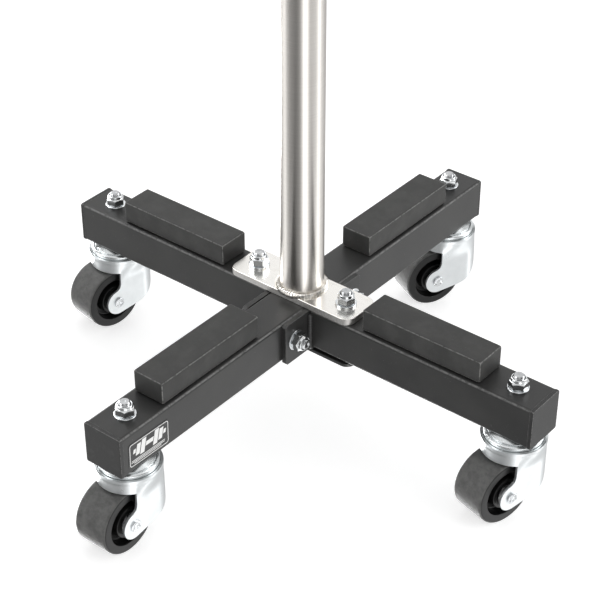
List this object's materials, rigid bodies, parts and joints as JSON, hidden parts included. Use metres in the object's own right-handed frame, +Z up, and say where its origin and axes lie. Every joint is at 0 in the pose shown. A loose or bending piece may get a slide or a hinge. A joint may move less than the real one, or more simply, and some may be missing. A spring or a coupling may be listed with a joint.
{
  "type": "weight plate storage trolley",
  "caption": "Cross-shaped floor trolley on swivel casters with an upright post and rubber blocks, for stacking weight plates",
  "frame": {"origin": "point on the floor under the post's axis", "axes": "+Z up along the post, +X along the right arm, -Y along the front arm with the label on its right-hand side"},
  "size_m": [0.642, 0.6717, 1.05],
  "materials": {
    "powder_coat": "satin",
    "weld_bead": "satin",
    "plate_steel": "polished",
    "post_steel": "polished",
    "post_bead": "rippled",
    "cap_plastic": "satin",
    "pad_rubber": "matt",
    "bond": "matt",
    "label": "gloss",
    "bolt_zinc": "bright zinc",
    "nut_zinc": "bright zinc",
    "washer_zinc": "bright zinc",
    "nylon": "satin",
    "ball_steel": "polished",
    "caster_disc": "bright zinc",
    "fork_zinc": "bright zinc",
    "rivet_zinc": "bright zinc",
    "sleeve_steel": "ground",
    "wheel_polymer": "satin",
    "bearing_steel": "ground"
  },
  "bodies": {
    "base": {"through_tube": "powder_coat", "arm_tube_right": "powder_coat", "arm_tube_left": "powder_coat", "flange_right": "powder_coat", "flange_left": "powder_coat", "support_plate": "powder_coat", "support_spacers": "powder_coat", "weld_right": "weld_bead", "weld_left": "weld_bead", "base_plate": "plate_steel", "post_tube": "post_steel", "post_weld": "post_bead", "post_cap": "cap_plastic", "end_cap_front": "cap_plastic", "end_cap_right": "cap_plastic", "end_cap_back": "cap_plastic", "end_cap_left": "cap_plastic", "pad_front": "pad_rubber", "pad_right": "pad_rubber", "pad_back": "pad_rubber", "pad_left": "pad_rubber", "pad_bonds": "bond", "label_plate": "label", "cross_bolts": "bolt_zinc", "plate_bolts": "bolt_zinc", "caster_stems": "bolt_zinc", "cross_nuts": "nut_zinc", "plate_nuts": "nut_zinc", "caster_nuts": "nut_zinc", "cross_washers": "washer_zinc", "plate_washers": "washer_zinc", "caster_washers": "washer_zinc", "nut_inserts": "nylon", "swivel_balls": "ball_steel", "top_disc_front": "caster_disc", "top_disc_right": "caster_disc", "top_disc_back": "caster_disc", "top_disc_left": "caster_disc"},
    "fork_front": {"fork_front": "fork_zinc", "axle_front": "rivet_zinc", "sleeve_front": "sleeve_steel"},
    "wheel_front": {"wheel_front": "wheel_polymer", "bearings_front": "bearing_steel"},
    "fork_right": {"fork_right": "fork_zinc", "axle_right": "rivet_zinc", "sleeve_right": "sleeve_steel"},
    "wheel_right": {"wheel_right": "wheel_polymer", "bearings_right": "bearing_steel"},
    "fork_back": {"fork_back": "fork_zinc", "axle_back": "rivet_zinc", "sleeve_back": "sleeve_steel"},
    "wheel_back": {"wheel_back": "wheel_polymer", "bearings_back": "bearing_steel"},
    "fork_left": {"fork_left": "fork_zinc", "axle_left": "rivet_zinc", "sleeve_left": "sleeve_steel"},
    "wheel_left": {"wheel_left": "wheel_polymer", "bearings_left": "bearing_steel"}
  },
  "joints": [
    {"name": "swivel_front", "type": "hinge", "parent": "base", "child": "fork_front", "pos_m": [0, -0.285, 0.08], "axis": [0, 0, 1], "continuous": true},
    {"name": "spin_front", "type": "hinge", "parent": "fork_front", "child": "wheel_front", "pos_m": [0, -0.31, 0.0375], "axis": [1, 0, 0], "continuous": true},
    {"name": "swivel_right", "type": "hinge", "parent": "base", "child": "fork_right", "pos_m": [0.285, 0, 0.08], "axis": [0, 0, 1], "continuous": true},
    {"name": "spin_right", "type": "hinge", "parent": "fork_right", "child": "wheel_right", "pos_m": [0.27895, -0.02426, 0.0375], "axis": [0.9703, -0.2419, 0], "continuous": true},
    {"name": "swivel_back", "type": "hinge", "parent": "base", "child": "fork_back", "pos_m": [0, 0.285, 0.08], "axis": [0, 0, 1], "continuous": true},
    {"name": "spin_back", "type": "hinge", "parent": "fork_back", "child": "wheel_back", "pos_m": [-0.01096, 0.26253, 0.0375], "axis": [0.8988, -0.4384, 0], "continuous": true},
    {"name": "swivel_left", "type": "hinge", "parent": "base", "child": "fork_left", "pos_m": [-0.285, 0, 0.08], "axis": [0, 0, 1], "continuous": true},
    {"name": "spin_left", "type": "hinge", "parent": "fork_left", "child": "wheel_left", "pos_m": [-0.28934, -0.02462, 0.0375], "axis": [0.9848, -0.1736, 0], "continuous": true}
  ]
}
